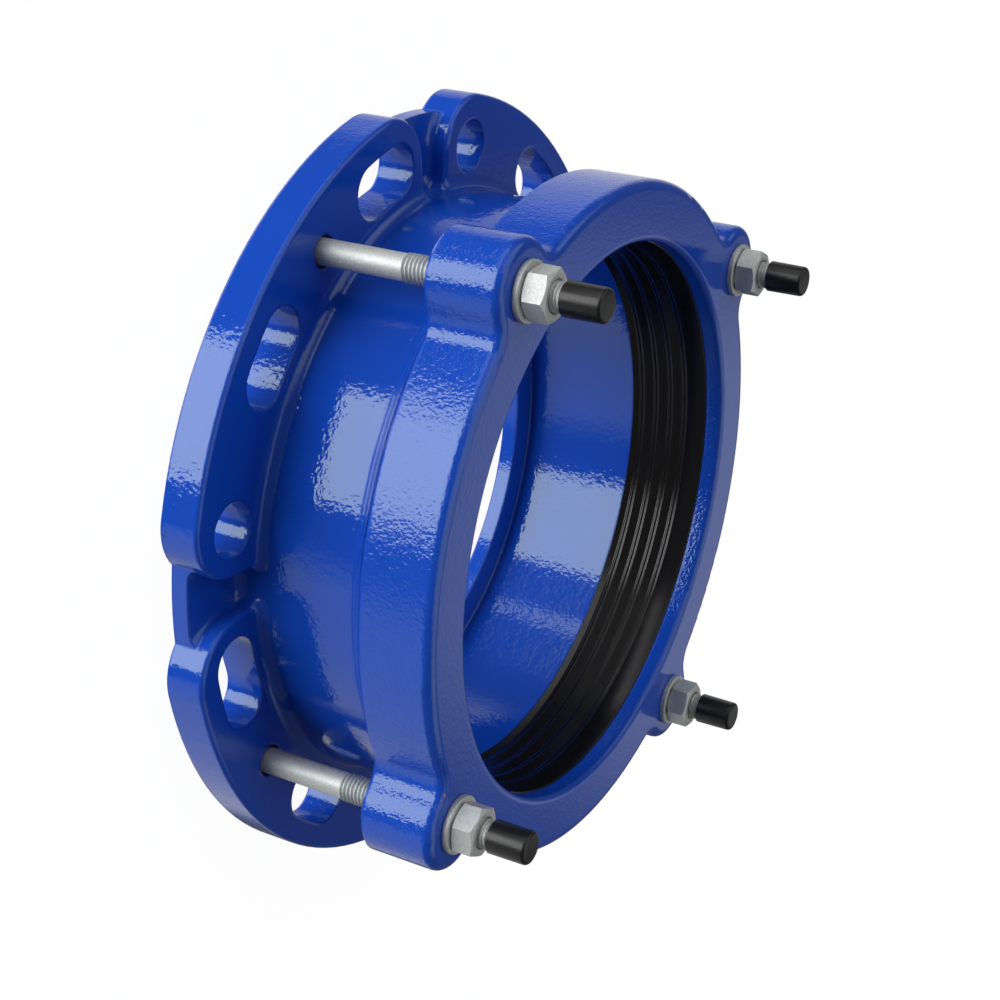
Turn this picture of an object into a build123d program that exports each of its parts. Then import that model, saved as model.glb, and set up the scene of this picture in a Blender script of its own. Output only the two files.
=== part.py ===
"""Flange adaptor for a pipe: a coated iron body with a flange, and a clamp ring that squeezes a gasket.

The pipe axis is +Z and the flange face is Z = 0. The first clamp bolt stands on +X and the other three
follow a quarter turn apart. Angles are in degrees from a clamp bolt, lengths in millimetres.
"""
from build123d import *
import os
from math import cos, hypot, radians, sin

os.makedirs("parts", exist_ok=True)

# Flange: thick pads round the bolt holes, and a thin web that shows between the pads
quarters = 4
flange_d = 340.0
hole_pcd = 295.0
hole_d = 23.0
slot_from = 15.0
slot_to = 22.5
round_hole_at = 45.0
pad_t = 17.0
pad_corner_r = 23.0
pad_edge_r = 2.0
web_inset = 8.5
web_t = 7.5
web_gap_start = 52.8
web_gap_end = 60.0
root_r = 6.0
web_root_r = 4.0

# Clamp bolts and the holes and pockets that hold them
bolt_d = 12.0
bolt_pitch = 1.75
bolt_offset = 1.0
bolt_spare = 20.0
thread_length = 82.0
head_af = 19.0
head_h = 7.5
head_clearance = 0.5
head_recess = 1.0
bolt_hole_clearance = 0.75

# Sleeve that the pipe end slides into. Outside it is plain for a little above the root, then widens towards
# the mouth that seats the gasket, where a low step and a collar guide the clamp ring. Inside it narrows from
# the mouth to the stop for the pipe end
body_h = 68.5
bolt_gap = 6.0
lip_t = 1.0
lip_rise = 3.5
sleeve_plain = 3.0
sleeve_flare = 1.5
sleeve_step = 0.7
sleeve_step_z = 62.0
mouth_wall = 11.5
mouth_flare = 6.5
mouth_depth = 8.0
sleeve_wall = 11.0
sleeve_taper = 6.0
bore_step = 14.0
bore_lip_t = 7.5

# Clamp ring
ring_depth = 33.0
ring_wall_t = 8.0
ring_skirt_t = 8.0
ring_skirt_clearance = 1.5
ring_seat_depth = 11.0
ring_seat_step = 7.0
ring_opening_clearance = 2.0
ring_opening_edge = 2.5
ring_front_r = 4.0
ring_back_edge = 2.0
lug_r = 20.0
lug_blend_r = 10.0
lug_hole_clearance = 1.0

# Gasket
gasket_lip = 0.5
gasket_clearance = 0.3
gasket_insert = 6.5
gasket_band = 2.3
gasket_front_land = 5.0
rib_count = 4
rib_pitch = 6.2
rib_crest = 1.6
rib_flank = 1.6
rib_depth = 2.4

# Washers, nuts and end caps
washer_d = 24.0
washer_t = 2.5
washer_bore_clearance = 0.5
nut_af = 19.0
nut_h = 10.0
nut_face_d = 18.0
nut_bevel = 1.3
thread_clearance = 0.1
cap_gap = 4.0
cap_wall = 0.85
cap_clearance = 0.05
cap_top_t = 1.0
cap_edge = 1.2

quarter_turn = 360 / quarters

# Radii across the pipe axis, from the bolt circle outwards and inwards
hole_circle_r = hole_pcd / 2
bolt_circle_r = hole_circle_r + bolt_offset
flange_r = flange_d / 2
web_r = flange_r - web_inset
lip_r = bolt_circle_r - bolt_d / 2 - bolt_gap
mouth_r = lip_r - mouth_wall
sleeve_r = mouth_r - mouth_flare
sleeve_outer_r = sleeve_r + sleeve_wall
sleeve_end_r = sleeve_outer_r + sleeve_flare
collar_r = sleeve_end_r + sleeve_step
stop_r = sleeve_r - sleeve_taper
bore_r = stop_r - bore_step
gasket_r = sleeve_r - gasket_lip
skirt_r = lip_r + ring_skirt_clearance
ring_r = skirt_r + ring_skirt_t
ring_seat_r = skirt_r - ring_seat_step
ring_opening_r = sleeve_r + ring_opening_clearance

# Heights along the pipe axis
head_seat_z = head_h + head_recess
flare_start_z = pad_t + root_r + sleeve_plain
collar_z = body_h - lip_t - lip_rise
mouth_start_z = body_h - mouth_depth

# The gasket's two cones are those of the mouth and of the ring, moved square to themselves by its clearance.
# It fills the mouth up to its outer band, and the ring's seat comes down on the far side of that band.
mouth_slope = mouth_flare / mouth_depth
seat_slope = ring_seat_step / ring_seat_depth
gasket_outer_r = skirt_r - gasket_clearance
gasket_back_z = body_h - gasket_insert
gasket_back_r = sleeve_r + mouth_slope * (gasket_back_z - mouth_start_z) - gasket_clearance * hypot(1, mouth_slope)
gasket_swell_z = gasket_back_z + (gasket_outer_r - gasket_back_r) / mouth_slope
gasket_shoulder_z = gasket_swell_z + gasket_band
ring_seat_z = gasket_shoulder_z + gasket_clearance * (hypot(1, seat_slope) - 1) / seat_slope
ring_wall_z = ring_seat_z + ring_seat_depth
gasket_front_z = ring_wall_z - gasket_clearance
gasket_front_r = ring_seat_r + gasket_clearance * (seat_slope - hypot(1, seat_slope))
ring_front_z = ring_wall_z + ring_wall_t
ring_back_z = ring_front_z - ring_depth
nut_z = ring_front_z + washer_t
bolt_end_z = nut_z + nut_h + bolt_spare
thread_start_z = bolt_end_z - thread_length
cap_start_z = nut_z + nut_h + cap_gap
cap_inner_z = bolt_end_z + cap_clearance

# A rolled thread stands on a shank about as thick as the thread is halfway up its flanks
shank_r = (bolt_d - 0.65 * bolt_pitch) / 2
thread_chamfer = (bolt_d / 2 - shank_r) * 0.8
hex_corner = 1 / cos(radians(30))


def polar(radius, angle):
    """The point at this radius and angle in the flange plane."""
    return (radius * cos(radians(angle)), radius * sin(radians(angle)))


def reach(edge):
    """How far the middle of an edge lies from the pipe axis."""
    middle = edge @ 0.5
    return Vector(middle.X, middle.Y).length


def seat(number, z):
    """The plane square to this bolt at height z, with its x direction pointing away from the pipe."""
    angle = quarter_turn * number
    return Plane((*polar(bolt_circle_r, angle), z), x_dir=(*polar(1, angle), 0), z_dir=(0, 0, 1))


# Body: flange and sleeve in one casting
with BuildPart() as body:
    # Thick pads: a disc with four gaps, its rim corners and its back edges rounded
    with BuildSketch(Plane.XY) as pads:
        Circle(flange_r)
        for quarter in range(quarters):
            start = quarter_turn * quarter + web_gap_start
            end = quarter_turn * quarter + web_gap_end
            with BuildLine():
                Polyline(
                    polar(sleeve_outer_r - root_r, start),
                    polar(2 * flange_r, start),
                    polar(2 * flange_r, end),
                    polar(sleeve_outer_r - root_r, end),
                    close=True,
                )
            make_face(mode=Mode.SUBTRACT)
        fillet(pads.vertices().filter_by(lambda v: Vector(v.X, v.Y).length > web_r), radius=pad_corner_r)
    extrude(amount=pad_t)
    pad_backs = body.faces().sort_by(Axis.Z)[-1].edges()
    fillet(pad_backs.filter_by(lambda e: reach(e) > sleeve_outer_r - root_r / 2), radius=pad_edge_r)

    # Thin web that closes the gaps at the flange face
    with BuildSketch(Plane.XY):
        Circle(web_r)
    extrude(amount=web_t)

    # Sleeve that widens towards its mouth, with a low step and a collar
    with BuildSketch(Plane.XZ):
        with BuildLine():
            Polyline(
                (bore_r, 0),
                (sleeve_outer_r, 0),
                (sleeve_outer_r, flare_start_z),
                (sleeve_end_r, sleeve_step_z),
                (collar_r, sleeve_step_z + sleeve_step),
                (collar_r, collar_z),
                (lip_r, body_h - lip_t),
                (lip_r, body_h),
                (bore_r, body_h),
                close=True,
            )
        make_face()
    revolve(axis=Axis.Z)

    # Soft inside corners, first where the pads meet the web, then where both meet the sleeve
    on_web = body.edges().filter_by(GeomType.LINE).filter_by(lambda e: abs((e @ 0.5).Z - web_t) < 0.01)
    fillet(on_web, radius=web_root_r)
    at_flange = body.edges().filter_by(lambda e: web_t - 0.01 < (e @ 0.5).Z < pad_t + 0.01)
    fillet(at_flange.filter_by(lambda e: abs(reach(e) - sleeve_outer_r) < 0.05), radius=root_r)

    # Bore, the stop for the pipe end, the tapered inside and the gasket mouth
    with BuildSketch(Plane.XZ):
        with BuildLine():
            Polyline(
                (0, 0),
                (bore_r, 0),
                (bore_r, bore_lip_t),
                (stop_r, bore_lip_t),
                (sleeve_r, mouth_start_z),
                (mouth_r, body_h),
                (0, body_h),
                close=True,
            )
        make_face()
    revolve(axis=Axis.Z, mode=Mode.SUBTRACT)

    # Flange bolt slots, each long enough for two drillings, and round holes
    with BuildSketch(Plane.XY):
        for quarter in range(quarters):
            for start in (slot_from, quarter_turn - slot_to):
                with BuildLine() as slot:
                    CenterArc((0, 0), hole_circle_r, quarter_turn * quarter + start, slot_to - slot_from)
                SlotArc(slot.edges()[0], hole_d)
        with PolarLocations(hole_circle_r, quarters, start_angle=round_hole_at):
            Circle(hole_d / 2)
    extrude(amount=pad_t, mode=Mode.SUBTRACT)

    # Clamp bolt holes, with a hexagon pocket behind each that keeps the head from turning
    with BuildSketch(Plane.XY):
        with PolarLocations(bolt_circle_r, quarters):
            Circle(bolt_d / 2 + bolt_hole_clearance)
    extrude(amount=pad_t, mode=Mode.SUBTRACT)
    with BuildSketch(Plane.XY):
        with PolarLocations(bolt_circle_r, quarters):
            RegularPolygon((head_af / 2 + head_clearance) * hex_corner, 6)
    extrude(amount=head_seat_z, mode=Mode.SUBTRACT)

body.part.label = "body"
export_step(body.part, "parts/body.step")


# Clamp ring: a deep ring with four lugs, hollow behind its front wall
with BuildPart() as gland_ring:
    with BuildSketch(Plane.XY.offset(ring_back_z)) as outline:
        Circle(ring_r)
        with PolarLocations(bolt_circle_r, quarters):
            Circle(lug_r)
        fillet(outline.vertices(), radius=lug_blend_r)
    extrude(amount=ring_depth)
    fillet(gland_ring.faces().sort_by(Axis.Z)[-1].edges(), radius=ring_front_r)
    chamfer(gland_ring.faces().sort_by(Axis.Z)[0].edges(), length=ring_back_edge)

    # Skirt over the collar, slanted seat for the gasket, and the opening for the pipe
    with BuildSketch(Plane.XZ):
        with BuildLine():
            Polyline(
                (0, ring_back_z),
                (skirt_r, ring_back_z),
                (skirt_r, ring_seat_z),
                (ring_seat_r, ring_wall_z),
                (ring_opening_r, ring_wall_z),
                (ring_opening_r, ring_front_z),
                (0, ring_front_z),
                close=True,
            )
        make_face()
    revolve(axis=Axis.Z, mode=Mode.SUBTRACT)
    front_rim = gland_ring.edges().filter_by(GeomType.CIRCLE).group_by(Axis.Z)[-1]
    fillet(front_rim.filter_by(lambda e: abs(e.radius - ring_opening_r) < 0.1), radius=ring_opening_edge)

    with BuildSketch(Plane.XY.offset(ring_back_z)):
        with PolarLocations(bolt_circle_r, quarters):
            Circle(bolt_d / 2 + lug_hole_clearance)
    extrude(amount=ring_depth, mode=Mode.SUBTRACT)

gland_ring.part.label = "gland_ring"
export_step(gland_ring.part, "parts/gland_ring.step")


# Gasket: a wedge in the mouth that swells into the ring, ribbed inside
gasket_inside = [(gasket_r, gasket_front_z)]
for rib in range(rib_count):
    groove_z = gasket_front_z - gasket_front_land - rib * rib_pitch
    gasket_inside += [
        (gasket_r, groove_z),
        (gasket_r + rib_depth, groove_z - rib_flank),
        (gasket_r + rib_depth, groove_z - rib_pitch + rib_crest + rib_flank),
        (gasket_r, groove_z - rib_pitch + rib_crest),
    ]
with BuildPart() as gasket:
    with BuildSketch(Plane.XZ):
        with BuildLine():
            Polyline(
                *gasket_inside,
                (gasket_r, gasket_back_z),
                (gasket_back_r, gasket_back_z),
                (gasket_outer_r, gasket_swell_z),
                (gasket_outer_r, gasket_shoulder_z),
                (gasket_front_r, gasket_front_z),
                close=True,
            )
        make_face()
    revolve(axis=Axis.Z)

gasket.part.label = "gasket"
export_step(gasket.part, "parts/gasket.step")


# Fasteners: a bolt, a washer, a nut and an end cap at each lug
for number in range(quarters):
    # Bolt: hexagon head in its pocket, plain shank, and the thread as a plain cylinder
    with BuildPart() as bolt:
        with BuildSketch(seat(number, head_recess)):
            RegularPolygon(head_af / 2 * hex_corner, 6)
        extrude(amount=head_h)
        with BuildSketch(seat(number, head_seat_z)):
            Circle(shank_r)
        extrude(amount=thread_start_z - head_seat_z)
        with BuildSketch(seat(number, thread_start_z)):
            Circle(bolt_d / 2)
        extrude(amount=thread_length)
        chamfer(bolt.edges().filter_by(GeomType.CIRCLE).sort_by(Axis.Z)[-1], length=thread_chamfer)
    bolt.part.label = f"bolt_{number + 1}"
    export_step(bolt.part, f"parts/bolt_{number + 1}.step")

    with BuildPart() as washer:
        with BuildSketch(seat(number, ring_front_z)):
            Circle(washer_d / 2)
            Circle(bolt_d / 2 + washer_bore_clearance, mode=Mode.SUBTRACT)
        extrude(amount=washer_t)
    washer.part.label = f"washer_{number + 1}"
    export_step(washer.part, f"parts/washer_{number + 1}.step")

    # Nut: a hexagon with both ends turned down to a round bearing face
    nut_plane = seat(number, nut_z)
    with BuildPart() as nut:
        with BuildSketch(nut_plane):
            RegularPolygon(nut_af / 2 * hex_corner, 6)
        extrude(amount=nut_h)
        with BuildSketch(Plane(nut_plane.origin, x_dir=nut_plane.x_dir, z_dir=-nut_plane.y_dir)):
            with BuildLine():
                Polyline(
                    (0, 0),
                    (nut_face_d / 2, 0),
                    (nut_af / 2 * hex_corner, nut_bevel),
                    (nut_af / 2 * hex_corner, nut_h - nut_bevel),
                    (nut_face_d / 2, nut_h),
                    (0, nut_h),
                    close=True,
                )
            make_face()
        revolve(axis=Axis(nut_plane.origin, nut_plane.z_dir), mode=Mode.INTERSECT)
        with BuildSketch(nut_plane):
            Circle(bolt_d / 2 + thread_clearance)
        extrude(amount=nut_h, mode=Mode.SUBTRACT)
    nut.part.label = f"nut_{number + 1}"
    export_step(nut.part, f"parts/nut_{number + 1}.step")

    # End cap: a thin plastic cup pushed over the end of the thread
    with BuildPart() as end_cap:
        with BuildSketch(seat(number, cap_start_z)):
            Circle(bolt_d / 2 + cap_clearance + cap_wall)
        extrude(amount=cap_inner_z + cap_top_t - cap_start_z)
        chamfer(end_cap.faces().sort_by(Axis.Z)[-1].edges(), length=cap_edge)
        with BuildSketch(seat(number, cap_start_z)):
            Circle(bolt_d / 2 + cap_clearance)
        extrude(amount=cap_inner_z - cap_start_z, mode=Mode.SUBTRACT)
    end_cap.part.label = f"end_cap_{number + 1}"
    export_step(end_cap.part, f"parts/end_cap_{number + 1}.step")

print("flange", 2 * flange_r, "bore", 2 * bore_r, "socket", 2 * sleeve_r, "height", cap_inner_z + cap_top_t)
print("bolt length", bolt_end_z - head_seat_z, "body cm3", round(body.part.volume / 1000))
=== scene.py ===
# %% [markdown]
# A flange adaptor is an iron fitting that joins a plain pipe to a flange. Two castings with a thick blue
# coating hold a rubber gasket between them, and four plated bolts pull them together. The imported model
# already has every piece in its real place and size, so this file only gives the pieces their finish, and
# the fine shapes that are too small for the model: threads, rounded nuts, caps, and the soft edges of
# rubber.

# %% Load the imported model
import bpy
import bmesh
from math import cos, degrees, pi, radians, sin, tan
from mathutils import Matrix, Vector


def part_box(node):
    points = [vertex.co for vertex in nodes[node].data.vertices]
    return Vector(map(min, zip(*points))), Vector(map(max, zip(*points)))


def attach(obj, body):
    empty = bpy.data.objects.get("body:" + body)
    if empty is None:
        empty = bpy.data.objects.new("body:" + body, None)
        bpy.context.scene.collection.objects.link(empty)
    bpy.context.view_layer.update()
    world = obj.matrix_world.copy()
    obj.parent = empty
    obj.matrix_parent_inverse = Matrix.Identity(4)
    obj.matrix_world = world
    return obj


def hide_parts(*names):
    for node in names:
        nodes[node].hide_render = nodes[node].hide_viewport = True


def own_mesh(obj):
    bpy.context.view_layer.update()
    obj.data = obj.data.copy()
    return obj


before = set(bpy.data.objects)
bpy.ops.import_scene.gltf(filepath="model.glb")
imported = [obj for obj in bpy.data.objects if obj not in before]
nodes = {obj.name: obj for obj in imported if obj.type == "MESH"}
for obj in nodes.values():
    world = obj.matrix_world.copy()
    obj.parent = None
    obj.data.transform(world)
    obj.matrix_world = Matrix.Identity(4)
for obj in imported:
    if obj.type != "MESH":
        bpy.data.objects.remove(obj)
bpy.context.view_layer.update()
print("pieces in the model:", len(nodes))

# %% [markdown]
# The sizes that the fine pieces share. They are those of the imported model, read from its boxes where a box
# tells them, so that each fine piece sits exactly where the plain one does.

# %% Shared sizes
MM = 0.001
BOLT_CIRCLE = 148.5 * MM
THREAD_RADIUS = 6 * MM
THREAD_PITCH = 1.75 * MM
HEXAGON_ACROSS = 19 * MM
STATIONS = (1, 2, 3, 4)


def in_mm(length):
    """A length in millimetres, for the line that a cell prints."""
    return round(length / MM, 2)


def place(mesh, number):
    """Moves a mesh that was made on the pipe's axis out to its bolt. The bolts stand a quarter turn apart."""
    turn = Matrix.Rotation(radians(90 * (number - 1)), 4, "Z")
    mesh.transform(turn @ Matrix.Translation((BOLT_CIRCLE, 0, 0)))


washer_low, washer_high = (v.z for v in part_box("washer_1"))
nut_low, nut_high = (v.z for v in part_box("nut_1"))
bolt_low, bolt_high = (v.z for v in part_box("bolt_1"))
cap_low, cap_high = (v.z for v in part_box("end_cap_1"))
gasket_low, gasket_high = (v.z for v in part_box("gasket"))
print("nut from", in_mm(nut_low), "to", in_mm(nut_high), "mm, cap up to", in_mm(cap_high), "mm")

# %% [markdown]
# Colours are picked as they look on a screen, but a renderer counts light, so every colour goes through one
# function that turns screen values into amounts of light. A second function adds a node with its settings
# and its inputs in one line, so that a material reads from top to bottom like a recipe.

# %% Helpers for materials


def colour(hex_value):
    """A screen colour such as '1A47B8' as linear light."""
    out = []
    for i in (0, 2, 4):
        v = int(hex_value[i:i + 2], 16) / 255
        out.append(v / 12.92 if v <= 0.04045 else ((v + 0.055) / 1.055) ** 2.4)
    return (*out, 1.0)


def add(tree, kind, settings=None, **inputs):
    """A node with its settings, and each input set or linked. An input's name has _ for a space, and i0 is
    the first input, for those that share a name. A node given as an input is linked by its first output."""
    node = tree.nodes.new(kind)
    for name, value in (settings or {}).items():
        setattr(node, name, value)
    for name, value in inputs.items():
        key = int(name[1:]) if name[0] == "i" and name[1:].isdigit() else name.replace("_", " ")
        if isinstance(value, bpy.types.Node):
            value = value.outputs[0]
        if isinstance(value, bpy.types.NodeSocket):
            tree.links.new(value, node.inputs[key])
        else:
            node.inputs[key].default_value = value
    return node


def new_material(name):
    """A material and its node tree, still empty."""
    material = bpy.data.materials.new(name)
    material.use_nodes = True
    material.node_tree.nodes.clear()
    return material, material.node_tree


print("the coating's blue as light:", [round(v, 3) for v in colour("1243AC")[:3]])

# %% [markdown]
# The coating is epoxy powder that melts on the hot casting. It gives a deep, glassy blue, and because it
# flows while it is hot, every sharp edge ends up soft and a little lighter. A bevel node rounds the edges
# for the light only. Under it lies the iron: the sleeve was cast in a smooth mould, the ring in coarser
# sand, and the coating follows that grain. So both castings share one recipe with a different grain. It has
# three layers of bumps, for the waves of the casting, the ripples of the coating and the grain of the sand.
# On the faces that look along the pipe the coating came out smoother, so all three are weaker there. Real
# sand grains are a few tenths of a millimetre, finer than a pixel of the picture, so the grain is drawn at
# more than a millimetre, as coarse as it has to be to show.
#
# The sleeve's walls lean by a few degrees. On the real fitting the lamps still run straight across them, so
# its recipe takes a small lean out of the direction that the light sees, and leaves the true slopes as they
# are.

# %% Recipe for the blue coating
SOFT_EDGE = 1.7 * MM
CASTING_WAVE, CASTING_WAVE_HEIGHT = 11 * MM, 0.10 * MM
CLOUD = 45 * MM
SMALL_LEAN, TRUE_SLOPE = 0.12, 0.26
LOOKS_ASIDE, LOOKS_ALONG = 0.5, 0.9
MARK_GRIT = 0.8 * MM
MARK_END, MARK_FULL = 1.35, 1.15
MARK_ROUGHNESS = 0.5
EPOXY_IOR = 1.5
EPOXY_GLOSS = (0.84, 1.0, 0.80, 1.0)


def coated_iron(name, peel, peel_height, grain, grain_height, flat_share, roughness, upright, marks,
                mark_tint):
    """Epoxy on cast iron. Peel is the size of the coating's own ripples and grain that of the sand below."""
    material, tree = new_material(name)
    at = add(tree, "ShaderNodeTexCoord").outputs["Object"]
    normal = add(tree, "ShaderNodeBevel", {"samples": 6}, Radius=SOFT_EDGE)
    lean = add(tree, "ShaderNodeSeparateXYZ", Vector=normal).outputs
    facing = add(tree, "ShaderNodeMath", {"operation": "ABSOLUTE"}, i0=lean["Z"])
    if upright:
        kept = add(tree, "ShaderNodeMapRange", Value=facing, From_Min=SMALL_LEAN, From_Max=TRUE_SLOPE)
        rise = add(tree, "ShaderNodeMath", {"operation": "MULTIPLY"}, i0=lean["Z"], i1=kept)
        straight = add(tree, "ShaderNodeCombineXYZ", X=lean["X"], Y=lean["Y"], Z=rise)
        normal = add(tree, "ShaderNodeVectorMath", {"operation": "NORMALIZE"}, i0=straight)
    strength = add(tree, "ShaderNodeMapRange", Value=facing, From_Min=LOOKS_ASIDE, From_Max=LOOKS_ALONG,
                   To_Min=1.0, To_Max=flat_share)
    layers = ((CASTING_WAVE, CASTING_WAVE_HEIGHT, 1.0), (peel, peel_height, 2.0), (grain, grain_height, 1.0))
    for size, height, detail in layers:
        uneven = add(tree, "ShaderNodeTexNoise", Vector=at, Scale=1 / size, Detail=detail, Roughness=0.5)
        normal = add(tree, "ShaderNodeBump", Height=uneven.outputs["Fac"], Distance=height, Strength=strength,
                     Normal=normal)
    cloud = add(tree, "ShaderNodeTexNoise", Vector=at, Scale=1 / CLOUD, Detail=2.0)
    blue = add(tree, "ShaderNodeMix", {"data_type": "RGBA"}, Factor=cloud.outputs["Fac"], i6=colour("0F3FA6"),
               i7=colour("1243AC"))
    ragged = add(tree, "ShaderNodeTexNoise", Vector=at, Scale=1 / MARK_GRIT, Detail=2.0).outputs["Fac"]
    worn = 0.0
    for point, reach in marks:
        away = add(tree, "ShaderNodeVectorMath", {"operation": "DISTANCE"}, i0=at, i1=point).outputs["Value"]
        rough_edge = add(tree, "ShaderNodeMath", {"operation": "MULTIPLY_ADD"}, i0=ragged, i1=reach, i2=away)
        spot = add(tree, "ShaderNodeMapRange", Value=rough_edge, From_Min=MARK_END * reach,
                   From_Max=MARK_FULL * reach)
        worn = add(tree, "ShaderNodeMath", {"operation": "MAXIMUM"}, i0=spot, i1=worn)
    tint = add(tree, "ShaderNodeMix", {"data_type": "RGBA"}, Factor=worn, i6=blue.outputs[2],
               i7=colour(mark_tint))
    gloss = add(tree, "ShaderNodeMapRange", Value=worn, To_Min=roughness, To_Max=MARK_ROUGHNESS)
    shader = add(tree, "ShaderNodeBsdfPrincipled", Base_Color=tint.outputs[2], Roughness=gloss, IOR=EPOXY_IOR,
                 Specular_Tint=EPOXY_GLOSS, Normal=normal)
    add(tree, "ShaderNodeOutputMaterial", Surface=shader)
    return material


print("the light sees the edges rounded by", in_mm(SOFT_EDGE), "mm")

# %% [markdown]
# The fitting is new, and only two places are marked. A row of tiny chips on the edge of one lug shows rusty
# iron, and there is a faint dark smudge on the flange's rim. Each mark is a point with a reach, and noise
# makes its edge ragged. The chips lie on the lug's rounded edge, so they are placed by their angle round
# its bolt.

# %% Marks, and the two coatings
LUG_EDGE = 19.6 * MM
LUG_EDGE_HEIGHT = 105.5 * MM
chips = []
for around, reach in ((84, 0.7), (91, 0.9), (97, 1.0), (109, 0.7), (115, 0.8), (136, 1.1)):
    x = -BOLT_CIRCLE + LUG_EDGE * cos(radians(around))
    y = LUG_EDGE * sin(radians(around))
    chips.append(((x, y, LUG_EDGE_HEIGHT), reach * MM))
smudge = [((-122.0 * MM, 118.4 * MM, 1.4 * MM), 1.5 * MM), ((-120.6 * MM, 119.8 * MM, 2.6 * MM), 0.8 * MM)]

smooth_coating = coated_iron("epoxy_on_smooth_casting", peel=3.4 * MM, peel_height=0.11 * MM, grain=1.7 * MM,
                             grain_height=0.045 * MM, flat_share=0.5, roughness=0.05, upright=True,
                             marks=smudge, mark_tint="123A6E")
sandy_coating = coated_iron("epoxy_on_sand_casting", peel=2.3 * MM, peel_height=0.17 * MM, grain=1.2 * MM,
                            grain_height=0.15 * MM, flat_share=0.25, roughness=0.09, upright=False,
                            marks=chips, mark_tint="B8583A")
for name, coating in (("body", smooth_coating), ("gland_ring", sandy_coating)):
    nodes[name].data.materials.clear()
    nodes[name].data.materials.append(coating)
print("coated:", smooth_coating.name, "and", sandy_coating.name)

# %% [markdown]
# The fasteners are plated with zinc, which is a dull, light grey metal with fine speckles where the
# crystals of the plating catch the light. The gasket is black EPDM rubber, moulded, with a satin skin. The
# end caps are soft black plastic with a fine grain. Noise makes all three: in the zinc it goes from one
# grey to another, and in the black pieces it only makes the skin uneven. The crystals and the plastic's
# grain are finer than a pixel of the picture, so both are drawn at just under a millimetre, as coarse as
# they have to be to show.

# %% Zinc, rubber and plastic
ZINC_SPECKLE, ZINC_SPECKLE_HEIGHT = 0.9 * MM, 0.04 * MM
ZINC_PATCH = 7 * MM
ZINC_BRIGHT, ZINC_DULL = 0.50, 0.64
SKIN_SMOOTHER, SKIN_ROUGHER = 0.05, 0.07


def zinc_plate(name):
    """Zinc plating: light grey speckles, and patches that are more or less dull."""
    material, tree = new_material(name)
    at = add(tree, "ShaderNodeTexCoord").outputs["Object"]
    speckle = add(tree, "ShaderNodeTexNoise", Vector=at, Scale=1 / ZINC_SPECKLE, Detail=3.0,
                  Roughness=0.6).outputs["Fac"]
    patches = add(tree, "ShaderNodeTexNoise", Vector=at, Scale=1 / ZINC_PATCH, Detail=2.0).outputs["Fac"]
    tone = add(tree, "ShaderNodeMix", {"data_type": "RGBA"}, Factor=speckle, i6=colour("989C9B"),
               i7=colour("D6DAD7"))
    rough = add(tree, "ShaderNodeMapRange", Value=patches, To_Min=ZINC_BRIGHT, To_Max=ZINC_DULL)
    bump = add(tree, "ShaderNodeBump", Height=speckle, Distance=ZINC_SPECKLE_HEIGHT)
    shader = add(tree, "ShaderNodeBsdfPrincipled", Base_Color=tone.outputs[2], Metallic=0.6, Roughness=rough,
                 Normal=bump)
    add(tree, "ShaderNodeOutputMaterial", Surface=shader)
    return material


def black_polymer(name, tint, roughness, grain, grain_height, ior):
    """Rubber or plastic from a mould: one dark tint, and a skin that is slightly uneven."""
    material, tree = new_material(name)
    at = add(tree, "ShaderNodeTexCoord").outputs["Object"]
    skin = add(tree, "ShaderNodeTexNoise", Vector=at, Scale=1 / grain, Detail=2.0).outputs["Fac"]
    rough = add(tree, "ShaderNodeMapRange", Value=skin, To_Min=roughness - SKIN_SMOOTHER,
                To_Max=roughness + SKIN_ROUGHER)
    bump = add(tree, "ShaderNodeBump", Height=skin, Distance=grain_height)
    shader = add(tree, "ShaderNodeBsdfPrincipled", Base_Color=colour(tint), Roughness=rough, IOR=ior,
                 Normal=bump)
    add(tree, "ShaderNodeOutputMaterial", Surface=shader)
    return material


zinc = zinc_plate("zinc_plated_steel")
rubber = black_polymer("moulded_epdm_rubber", "0B0B0C", roughness=0.20, grain=3.0 * MM,
                       grain_height=0.02 * MM, ior=1.55)
plastic = black_polymer("moulded_pe_plastic", "0D0E0E", roughness=0.34, grain=0.8 * MM,
                        grain_height=0.03 * MM, ior=1.42)
print("materials:", zinc.name, rubber.name, plastic.name)

# %% [markdown]
# Most of the small pieces are turned, so one helper spins a profile round the Z axis. The profile is a
# closed outline of (radius, height) points, and the mesh is closed too, with its faces pointing outwards. A
# second helper rounds the corners of such an outline first. A Screw modifier could spin the profile too,
# but the nuts are made from rings of corners that aren't round, so one way of joining rings serves both.

# %% Spin a profile
TINY = 1e-7


def finish_mesh(name, mesh, material, smooth_below=35):
    """Turns mesh data into an object with its finish, smooth across edges flatter than the given angle."""
    for face in mesh.faces:
        face.smooth = True
    for edge in mesh.edges:
        if len(edge.link_faces) == 2 and edge.calc_face_angle() > radians(smooth_below):
            edge.smooth = False
    data = bpy.data.meshes.new(name)
    mesh.to_mesh(data)
    mesh.free()
    data.materials.append(material)
    piece = bpy.data.objects.new(name, data)
    bpy.context.scene.collection.objects.link(piece)
    return piece


def skin_rows(mesh, rows):
    """Joins rings of corners with faces, each ring to the next and the last to the first."""
    steps = len(rows[0])
    for low, high in zip(rows, rows[1:] + rows[:1]):
        for i in range(steps):
            j = (i + 1) % steps
            corners = []
            for v in (low[i], low[j], high[j], high[i]):
                if v not in corners:
                    corners.append(v)
            if len(corners) > 2:
                mesh.faces.new(corners)
    bmesh.ops.recalc_face_normals(mesh, faces=mesh.faces)


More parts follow.
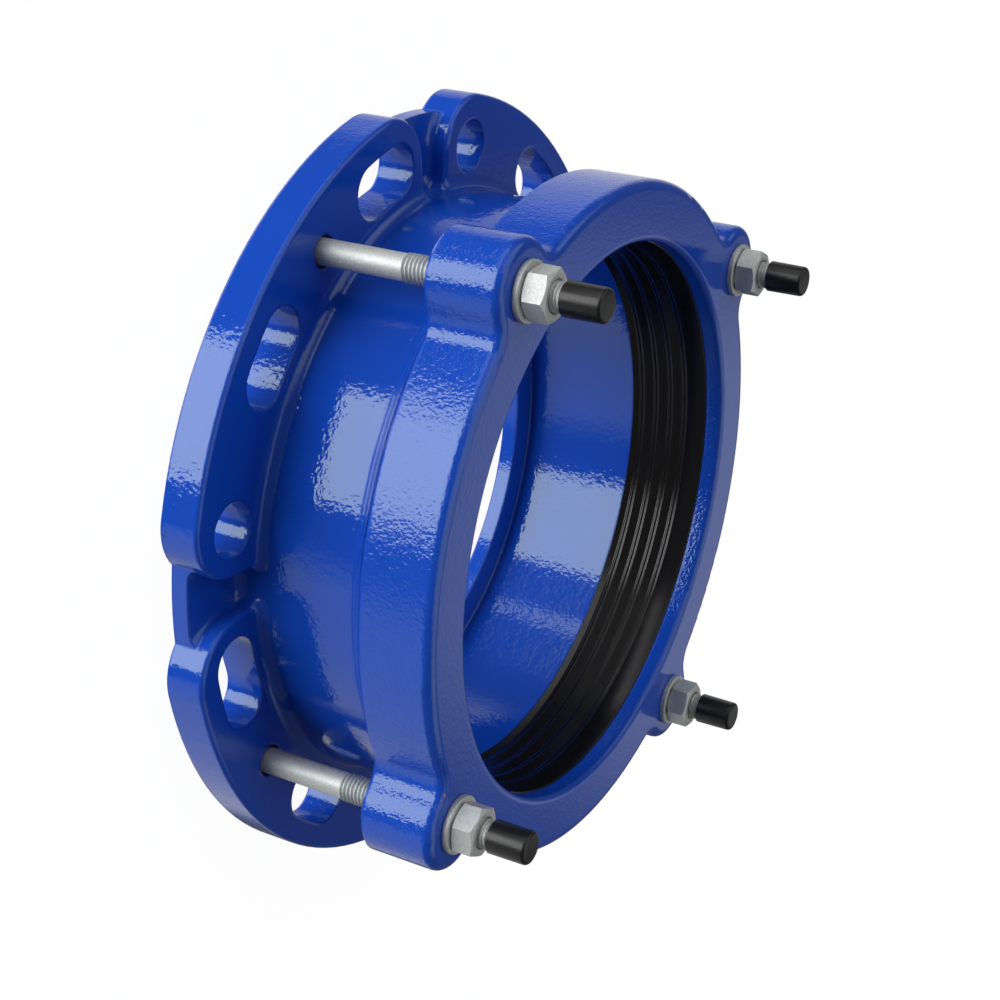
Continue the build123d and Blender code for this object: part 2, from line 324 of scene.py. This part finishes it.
def spin(name, profile, material, steps=96, smooth_below=35):
    """A turned piece: a closed outline of (radius, height) points in metres, spun round the Z axis."""
    mesh = bmesh.new()
    turns = [2 * pi * i / steps for i in range(steps)]
    rows = []
    for radius, height in profile:
        if radius < TINY:
            rows.append([mesh.verts.new((0, 0, height))] * steps)
        else:
            rows.append([mesh.verts.new((radius * cos(a), radius * sin(a), height)) for a in turns])
    skin_rows(mesh, rows)
    return finish_mesh(name, mesh, material, smooth_below)


def rounded(points, radius, steps=4):
    """A closed outline with its corners rounded. A radius may be given for each corner."""
    nearly_straight = radians(176)
    most_of_edge = 0.49
    out = []
    for i, here in enumerate(points):
        r = radius[i] if isinstance(radius, (list, tuple)) else radius
        before, after = points[i - 1], points[(i + 1) % len(points)]
        a = Vector((before[0] - here[0], before[1] - here[1]))
        b = Vector((after[0] - here[0], after[1] - here[1]))
        turn = a.angle(b, 0.0)
        if r < TINY or turn > nearly_straight:
            out.append(here)
            continue
        reach = min(r / abs(tan(turn / 2)), a.length * most_of_edge, b.length * most_of_edge)
        start = Vector(here) + a.normalized() * reach
        end = Vector(here) + b.normalized() * reach
        for k in range(steps + 1):
            t = k / steps
            p = (1 - t) ** 2 * start + 2 * t * (1 - t) * Vector(here) + t ** 2 * end
            out.append((max(p.x, 0.0), p.y))
    return out


square = rounded([(1, 0), (2, 0), (2, 1), (1, 1)], radius=0.1)
print("a square with rounded corners has", len(square), "points")

# %% [markdown]
# Washers are stamped from sheet, and the stamping leaves their edges slightly rounded. A flat ring with a
# bevel would do, but an outline of four rounded corners gives the same and is spun in one step. All four
# washers share that outline.

# %% Washers
WASHER_HOLE, WASHER_RIM = 6.5 * MM, 12 * MM
stamped = rounded([(WASHER_HOLE, washer_low), (WASHER_RIM, washer_low), (WASHER_RIM, washer_high),
                   (WASHER_HOLE, washer_high)], radius=0.45 * MM)
for number in STATIONS:
    washer = spin(f"flat_washer_{number}", stamped, zinc)
    place(washer.data, number)
    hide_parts(f"washer_{number}")
    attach(washer, "gland")
print("washers", in_mm(washer_high - washer_low), "mm thick")

# %% [markdown]
# A nut starts as a hexagonal bar. Both ends are turned to a cone, which cuts a curved edge into each flat.
# Cutting a bar with a cone would take a boolean, which leaves uneven faces. Here every column of the mesh
# stands on the hexagon's outline instead, and the further out it is, the lower the cone cuts it. A bolt's
# head is made the same way.

# %% Nuts
END_FACE = 9.0 * MM
CONE_SLOPE = 0.55
HOLE_EDGE, FACE_EDGE, RIM_EDGE = 0.7 * MM, 0.3 * MM, 0.15 * MM


def turned_hexagon(name, low, high, hole, steps=96):
    """A hexagonal bar from low to high with coned ends, and a hole of the given radius through it."""
    mesh = bmesh.new()
    rows = [[] for _ in range(8)]
    for i in range(steps):
        angle = 2 * pi * i / steps
        flat = (angle + radians(30)) % radians(60) - radians(30)
        rim = HEXAGON_ACROSS / 2 / cos(flat)
        cut = max(0.0, rim - END_FACE) * CONE_SLOPE + RIM_EDGE
        column = ((hole, low + HOLE_EDGE), (hole + HOLE_EDGE, low), (END_FACE - FACE_EDGE, low),
                  (rim, low + cut), (rim, high - cut),
                  (END_FACE - FACE_EDGE, high), (hole + HOLE_EDGE, high), (hole, high - HOLE_EDGE))
        for row, (radius, height) in zip(rows, column):
            row.append(mesh.verts.new((radius * cos(angle), radius * sin(angle), height)))
    skin_rows(mesh, rows)
    piece = finish_mesh(name, mesh, zinc, smooth_below=24)
    piece.data.transform(Matrix.Rotation(radians(30), 4, "Z"))
    return piece


for number in STATIONS:
    nut = turned_hexagon(f"hexagon_nut_{number}", nut_low, nut_high, hole=6.1 * MM)
    place(nut.data, number)
    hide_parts(f"nut_{number}")
    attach(nut, f"nut_{number}")
print("nuts", in_mm(nut_high - nut_low), "mm high")

# %% [markdown]
# A rolled thread is one ridge that winds up the bolt. It is a shape with a rule: the radius at any point
# depends only on how far that point lies along the pitch. So a Geometry Nodes tree takes a flat grid, wraps
# it round the bolt, and sets each point's radius from that rule. Near its ends the thread runs out into the
# core, and the last rows shrink to a point, which closes the rod. The same tree serves all four bolts.

# %% A Geometry Nodes tree for the thread
THREAD_DEPTH = 0.95 * MM
ROWS_PER_TURN = 10.0
COLUMNS = 33
CREST, ROOT = 0.08, 0.42
WELD = 1e-6


def thread_tree(material):
    """A threaded rod, whose sizes and ends are the tree's inputs."""
    tree = bpy.data.node_groups.new("rolled_thread", "GeometryNodeTree")
    for name in ("Major Radius", "Depth", "Pitch", "Low End", "High End"):
        tree.interface.new_socket(name, in_out="INPUT", socket_type="NodeSocketFloat")
    tree.interface.new_socket("Geometry", in_out="OUTPUT", socket_type="NodeSocketGeometry")
    given = add(tree, "NodeGroupInput").outputs
    length = add(tree, "ShaderNodeMath", {"operation": "SUBTRACT"}, i0=given["High End"], i1=given["Low End"])
    turns_long = add(tree, "ShaderNodeMath", {"operation": "DIVIDE"}, i0=length, i1=given["Pitch"])
    rows_long = add(tree, "ShaderNodeMath", {"operation": "MULTIPLY"}, i0=turns_long, i1=ROWS_PER_TURN)
    rows = add(tree, "ShaderNodeMath", {"operation": "CEIL"}, i0=rows_long)
    grid = add(tree, "GeometryNodeMeshGrid", Size_X=1.0, Size_Y=1.0, Vertices_X=COLUMNS, Vertices_Y=rows)
    spot = add(tree, "ShaderNodeSeparateXYZ", Vector=add(tree, "GeometryNodeInputPosition")).outputs
    share_round = add(tree, "ShaderNodeMath", {"operation": "ADD"}, i0=spot["X"], i1=0.5)
    around = add(tree, "ShaderNodeMath", {"operation": "MULTIPLY"}, i0=share_round, i1=2 * pi)
    share_up = add(tree, "ShaderNodeMath", {"operation": "ADD"}, i0=spot["Y"], i1=0.5)
    climb = add(tree, "ShaderNodeMath", {"operation": "MULTIPLY"}, i0=share_up, i1=length)
    height = add(tree, "ShaderNodeMath", {"operation": "ADD"}, i0=climb, i1=given["Low End"])
    pitches = add(tree, "ShaderNodeMath", {"operation": "DIVIDE"}, i0=height, i1=given["Pitch"])
    turns = add(tree, "ShaderNodeMath", {"operation": "SUBTRACT"}, i0=pitches, i1=share_round)
    along_pitch = add(tree, "ShaderNodeMath", {"operation": "FRACT"}, i0=turns)
    from_crest = add(tree, "ShaderNodeMath", {"operation": "SUBTRACT"}, i0=along_pitch, i1=0.5)
    flank = add(tree, "ShaderNodeMath", {"operation": "ABSOLUTE"}, i0=from_crest)
    groove = add(tree, "ShaderNodeMapRange", Value=flank, From_Min=CREST, From_Max=ROOT)
    from_low = add(tree, "ShaderNodeMath", {"operation": "SUBTRACT"}, i0=height, i1=given["Low End"])
    from_high = add(tree, "ShaderNodeMath", {"operation": "SUBTRACT"}, i0=given["High End"], i1=height)
    from_end = add(tree, "ShaderNodeMath", {"operation": "MINIMUM"}, i0=from_low, i1=from_high)
    runout = add(tree, "ShaderNodeMapRange", Value=from_end, From_Min=0.0, From_Max=THREAD_PITCH, To_Min=1.0,
                 To_Max=0.0)
    share_deep = add(tree, "ShaderNodeMath", {"operation": "MAXIMUM"}, i0=groove, i1=runout)
    depth = add(tree, "ShaderNodeMath", {"operation": "MULTIPLY"}, i0=share_deep, i1=given["Depth"])
    ridge = add(tree, "ShaderNodeMath", {"operation": "SUBTRACT"}, i0=given["Major Radius"], i1=depth)
    inside = add(tree, "ShaderNodeMath", {"operation": "GREATER_THAN"}, i0=from_end, i1=WELD)
    radius = add(tree, "ShaderNodeMath", {"operation": "MULTIPLY"}, i0=ridge, i1=inside)
    across = add(tree, "ShaderNodeMath", {"operation": "COSINE"}, i0=around)
    aside = add(tree, "ShaderNodeMath", {"operation": "SINE"}, i0=around)
    x = add(tree, "ShaderNodeMath", {"operation": "MULTIPLY"}, i0=radius, i1=across)
    y = add(tree, "ShaderNodeMath", {"operation": "MULTIPLY"}, i0=radius, i1=aside)
    wrapped = add(tree, "GeometryNodeSetPosition", Geometry=grid.outputs["Mesh"],
                  Position=add(tree, "ShaderNodeCombineXYZ", X=x, Y=y, Z=height))
    welded = add(tree, "GeometryNodeMergeByDistance", Geometry=wrapped, Distance=WELD)
    real = add(tree, "GeometryNodeRealizeInstances", Geometry=welded)
    done = add(tree, "GeometryNodeSetMaterial", Geometry=real, Material=material)
    add(tree, "NodeGroupOutput", Geometry=done)
    return tree


thread_rule = thread_tree(zinc)


def thread(low, high):
    """A threaded rod from low to high, as a plain mesh."""
    holder = bpy.data.objects.new("thread_maker", bpy.data.meshes.new("thread_maker"))
    bpy.context.scene.collection.objects.link(holder)
    modifier = holder.modifiers.new("thread", "NODES")
    modifier.node_group = thread_rule
    sockets = {s.name: s.identifier for s in thread_rule.interface.items_tree if s.in_out == "INPUT"}
    sizes = {"Major Radius": THREAD_RADIUS, "Depth": THREAD_DEPTH, "Pitch": THREAD_PITCH, "Low End": low,
             "High End": high}
    for name, value in sizes.items():
        modifier[sockets[name]] = value
    holder.data.update()
    depsgraph = bpy.context.evaluated_depsgraph_get()
    mesh = bpy.data.meshes.new_from_object(holder.evaluated_get(depsgraph))
    bpy.data.objects.remove(holder)
    return mesh


print("thread inputs:", [s.name for s in thread_rule.interface.items_tree if s.in_out == "INPUT"])

# %% [markdown]
# A bolt is a hexagonal head, a plain shank and the thread. The shank is as thick as the thread's middle,
# and ends in a short cone where the thread starts. It begins just inside the head, so the head's hole is
# left as a shallow dimple in its end. The head sits in its pocket at the flange face, so only that end
# shows from below. The three are made apart, because each has its own rule, and then become one mesh.

# %% Bolts
HEAD_HEIGHT, DIMPLE = 7.5 * MM, 0.6 * MM
THREAD_LENGTH = 85 * MM
SHANK_FOOT, SHANK_RADIUS, CONE_END = 5.4 * MM, 5.43 * MM, 4.6 * MM
head_high = bolt_low + HEAD_HEIGHT
thread_low = bolt_high - THREAD_LENGTH
cone_low, cone_high = thread_low + 1.5 * MM, thread_low + 2.6 * MM
shank_low = bolt_low + DIMPLE
shank_outline = [(0, shank_low), (SHANK_FOOT, shank_low), (SHANK_RADIUS, head_high), (SHANK_RADIUS, cone_low),
                 (CONE_END, cone_high), (0, cone_high)]
for number in STATIONS:
    head = turned_hexagon("head", bolt_low, head_high, hole=2.0 * MM)
    shank = spin("shank", shank_outline, zinc, steps=48)
    parts = bmesh.new()
    for mesh in (head.data, shank.data, thread(thread_low, bolt_high)):
        parts.from_mesh(mesh)
    for extra in (head, shank):
        bpy.data.objects.remove(extra)
    bolt = finish_mesh(f"hexagon_bolt_{number}", parts, zinc, smooth_below=40)
    place(bolt.data, number)
    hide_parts(f"bolt_{number}")
    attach(bolt, "body")
print("bolts", in_mm(bolt_high - head_high), "mm long,", len(bolt.data.polygons), "faces each")

# %% [markdown]
# An end cap is a thin cup of soft plastic, pushed over the bolt's end. Its closed end is well rounded, and
# its open edge is a little soft. It could be a cylinder with a wall and bevels, but a spun outline gives
# each corner a rounding of its own.

# %% End caps
CAP_INSIDE = 6.05 * MM
CAP_MOUTH, CAP_END = 6.9 * MM, 6.75 * MM
ROOF_THICKNESS = 0.9 * MM
cap_roof = cap_high - ROOF_THICKNESS
cup_corners = [(CAP_INSIDE, cap_low), (CAP_MOUTH, cap_low), (CAP_END, cap_high), (0, cap_high), (0, cap_roof),
               (CAP_INSIDE, cap_roof)]
cup = rounded(cup_corners, radius=[0.1 * MM, 0.35 * MM, 1.9 * MM, 0, 0, 0.2 * MM], steps=6)
for number in STATIONS:
    cap = spin(f"plastic_cap_{number}", cup, plastic, steps=64, smooth_below=50)
    place(cap.data, number)
    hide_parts(f"end_cap_{number}")
    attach(cap, "body")
print("caps", in_mm(cap_high - cap_low), "mm long")

# %% [markdown]
# The gasket is a thick wedge of rubber. Inside it has four ribs like the teeth of a saw: each opens towards
# the pipe's end and drops back steeply behind, so the pipe slides in and the water presses the rib on to
# it. Only the soft crests and roots catch the lamps, as thin double lines in the black. It is spun from its
# outline: the ribs from the front to the back, the lip at the back, the wedge's seat, its rim, and the
# front. When the ring comes down the real gasket gets shorter; here it is attached to the body with a mesh of
# its own.

# %% Gasket
GASKET_INSIDE = 118 * MM
RIB_CRESTS = (0.756, 0.55, 0.34, 0.134)
RIB_OUTLINE = ((0.0, 0.0), (0.9, 0.9), (0.45, 2.1), (1.9, 3.4))
LIP_FRONT, LIP_BACK, LIP_DROP = GASKET_INSIDE - 0.1 * MM, 118.35 * MM, 1.3 * MM
SEAT_FOOT = 119.33 * MM
RIM, RIM_LOW, RIM_HIGH = 137.7 * MM, 84.6 * MM, 86.9 * MM
FRONT_OUTSIDE, FRONT_FLARE = 130.83 * MM, 2.2 * MM
length = gasket_high - gasket_low
lip_low = gasket_low - LIP_DROP
outline = [(GASKET_INSIDE + FRONT_FLARE, gasket_high)]
for share in RIB_CRESTS:
    crest = gasket_low + share * length
    for back, down in RIB_OUTLINE:
        outline.append((GASKET_INSIDE + back * MM, crest - down * MM))
outline += [(LIP_FRONT, lip_low), (LIP_BACK, lip_low), (SEAT_FOOT, gasket_low), (RIM, RIM_LOW),
            (RIM, RIM_HIGH), (FRONT_OUTSIDE, gasket_high)]
gasket = spin("rubber_gasket", rounded(outline, radius=0.45 * MM), rubber, steps=288, smooth_below=60)
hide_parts("gasket")
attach(gasket, "body")
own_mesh(gasket)

# %% [markdown]
# The floor is a plain pale sheet. Seen by the camera it is nearly white, like the paper sweep of a product
# picture, and it keeps a faint shadow of the fitting. It hides nothing from the fitting itself: a glassy
# coating shows everything that stands round it, so the light from below comes from the studio too, as it
# does on a table of frosted glass.

# %% Floor
FLOOR_HALF = 6.0
FLOOR_HEIGHT = -0.3 * MM
PAPER_FIBRES = 30 * MM
WHITE_STRENGTH, WHITE_SHARE = 1.07, 0.88
paper_sheet, tree = new_material("matt_paper")
at = add(tree, "ShaderNodeTexCoord").outputs["Object"]
fibres = add(tree, "ShaderNodeTexNoise", Vector=at, Scale=1 / PAPER_FIBRES, Detail=2.0)
tone = add(tree, "ShaderNodeMix", {"data_type": "RGBA"}, Factor=fibres.outputs["Fac"], i6=colour("EDEDED"),
           i7=colour("F1F1F1"))
paper = add(tree, "ShaderNodeBsdfDiffuse", Color=tone.outputs[2])
white = add(tree, "ShaderNodeEmission", Color=(1, 1, 1, 1), Strength=WHITE_STRENGTH)
camera_ray = add(tree, "ShaderNodeLightPath").outputs["Is Camera Ray"]
lift = add(tree, "ShaderNodeMath", {"operation": "MULTIPLY"}, i0=camera_ray, i1=WHITE_SHARE)
seen = add(tree, "ShaderNodeMixShader", i0=lift, i1=paper, i2=white)
add(tree, "ShaderNodeOutputMaterial", Surface=seen)
sheet = bpy.data.meshes.new("floor")
corners = [(FLOOR_HALF * x, FLOOR_HALF * y, FLOOR_HEIGHT) for x, y in ((-1, -1), (1, -1), (1, 1), (-1, 1))]
sheet.from_pydata(corners, [], [(0, 1, 2, 3)])
sheet.materials.append(paper_sheet)
floor = bpy.data.objects.new("floor", sheet)
bpy.context.scene.collection.objects.link(floor)
floor.visible_diffuse = floor.visible_glossy = floor.visible_transmission = floor.visible_shadow = False
print("floor:", paper_sheet.name)

# %% [markdown]
# The studio is a room with soft boxes. Each is a bright rectangle in one direction, with an edge that is
# more or less soft, and a ray sees the brightest of them. One node group draws a box: it turns the
# direction of a ray until the box stands straight ahead, then asks how far the ray lies from the middle,
# sideways and up.

# %% A node group that draws one soft box
box_rule = bpy.data.node_groups.new("studio_soft_box", "ShaderNodeTree")
for name in ("Azimuth", "Elevation", "Half Width", "Half Height", "Edge", "Strength"):
    box_rule.interface.new_socket(name, in_out="INPUT", socket_type="NodeSocketFloat")
box_rule.interface.new_socket("Light", in_out="OUTPUT", socket_type="NodeSocketFloat")

given = add(box_rule, "NodeGroupInput").outputs
ray = add(box_rule, "ShaderNodeTexCoord").outputs["Generated"]
turn_back = add(box_rule, "ShaderNodeMath", {"operation": "MULTIPLY"}, i0=given["Azimuth"], i1=-1.0)
turned = add(box_rule, "ShaderNodeVectorRotate", {"rotation_type": "Z_AXIS"}, Vector=ray, Angle=turn_back)
ahead = add(box_rule, "ShaderNodeSeparateXYZ", Vector=turned).outputs
bearing = add(box_rule, "ShaderNodeMath", {"operation": "ARCTAN2"}, i0=ahead["Y"], i1=ahead["X"])
rise = add(box_rule, "ShaderNodeMath", {"operation": "ARCSINE"}, i0=ahead["Z"])
above = add(box_rule, "ShaderNodeMath", {"operation": "SUBTRACT"}, i0=rise, i1=given["Elevation"])
fades = []
for off, half in ((bearing, given["Half Width"]), (above, given["Half Height"])):
    distance = add(box_rule, "ShaderNodeMath", {"operation": "ABSOLUTE"}, i0=off)
    dark_from = add(box_rule, "ShaderNodeMath", {"operation": "ADD"}, i0=half, i1=given["Edge"])
    full_to = add(box_rule, "ShaderNodeMath", {"operation": "SUBTRACT"}, i0=half, i1=given["Edge"])
    fades.append(add(box_rule, "ShaderNodeMapRange", {"interpolation_type": "SMOOTHSTEP"}, Value=distance,
                     From_Min=dark_from, From_Max=full_to))
patch = add(box_rule, "ShaderNodeMath", {"operation": "MULTIPLY"}, i0=fades[0], i1=fades[1])
light = add(box_rule, "ShaderNodeMath", {"operation": "MULTIPLY"}, i0=patch, i1=given["Strength"])
add(box_rule, "NodeGroupOutput", Light=light)
print("soft box inputs:", [item.name for item in box_rule.interface.items_tree if item.in_out == "INPUT"])

# %% [markdown]
# The picture shows one large soft box to the left of the camera: it is the bright patch that runs across
# the ring, the sleeve and the rim. The other boxes are wide and weak. Angles place each box as seen from
# the fitting: azimuth round the pipe's axis, and elevation above the floor, with half its width and height,
# its soft edge, and its strength. The sheet overhead reaches all the way round, and lights the faces that
# look along the pipe without a reflection in the walls. The camera sees only white.

# %% World
ROOM_STRENGTH = 0.12
STUDIO = {
    # azimuth, elevation, half width, half height, edge, strength
    "large box": (116.5, -40, 21.5, 34, 1.5, 6.0),
    "box beside it": (70, -6, 28, 15, 6, 1.4),
    "small lamp": (70, -21, 3.5, 5, 1.5, 2.6),
    "box below the flange": (20, -66, 60, 18, 8, 2.2),
    "fill on the left": (212, -30, 50, 16, 8, 0.75),
    "fill on the right": (335, -20, 40, 18, 8, 0.65),
    "high box": (45, 48, 50, 20, 10, 1.1),
    "high box behind": (270, 56, 45, 14, 8, 0.9),
    "glow on the ring": (300.9, 23, 8.3, 7, 4, 0.55),
    "sheet overhead": (0, 90, 200, 25, 5, 1.1),
}
world = bpy.data.worlds.new("studio")
bpy.context.scene.world = world
world.use_nodes = True
tree = world.node_tree
tree.nodes.clear()
brightest = 0.0
for azimuth, elevation, half_width, half_height, edge, strength in STUDIO.values():
    box = add(tree, "ShaderNodeGroup", {"node_tree": box_rule}, Azimuth=radians(azimuth),
              Elevation=radians(elevation), Half_Width=radians(half_width), Half_Height=radians(half_height),
              Edge=radians(edge), Strength=strength)
    brightest = add(tree, "ShaderNodeMath", {"operation": "MAXIMUM"}, i0=box, i1=brightest)
lit = add(tree, "ShaderNodeMath", {"operation": "ADD"}, i0=brightest, i1=ROOM_STRENGTH)
room = add(tree, "ShaderNodeBackground", Color=(1, 1, 1, 1), Strength=lit)
clear = add(tree, "ShaderNodeBackground", Color=(1, 1, 1, 1), Strength=1.0)
camera_ray = add(tree, "ShaderNodeLightPath").outputs["Is Camera Ray"]
sky = add(tree, "ShaderNodeMixShader", i0=camera_ray, i1=room, i2=clear)
add(tree, "ShaderNodeOutputWorld", Surface=sky)
print("soft boxes:", ", ".join(STUDIO))

# %% [markdown]
# The camera looks down on the fitting from the pipe's side, and it is rolled so far that the pipe axis
# points to the right of the picture, as in the photograph of the fitting on its rim. Its lens is as long as
# 1.9 times the width of the picture, which keeps the far side nearly as large as the near one.

# %% Camera
EYE = Vector((-0.3796, 0.6442, 0.4194))
AIM = Vector((0.0023, -0.0067, 0.0500))
ROLL = radians(104.02)
FILM_WIDTH = 36
LENS_SHARE = 1.9
data = bpy.data.cameras.new("camera")
data.sensor_width = FILM_WIDTH
data.lens = FILM_WIDTH * LENS_SHARE
camera = bpy.data.objects.new("camera", data)
bpy.context.scene.collection.objects.link(camera)
look = (AIM - EYE).to_track_quat("-Z", "Y").to_matrix().to_4x4()
camera.matrix_world = Matrix.Translation(EYE) @ look @ Matrix.Rotation(ROLL, 4, "Z")
bpy.context.scene.camera = camera
bpy.context.scene.view_settings.view_transform = "Standard"
print("camera", round((AIM - EYE).length, 3), "m away, field", round(degrees(data.angle), 1), "degrees")
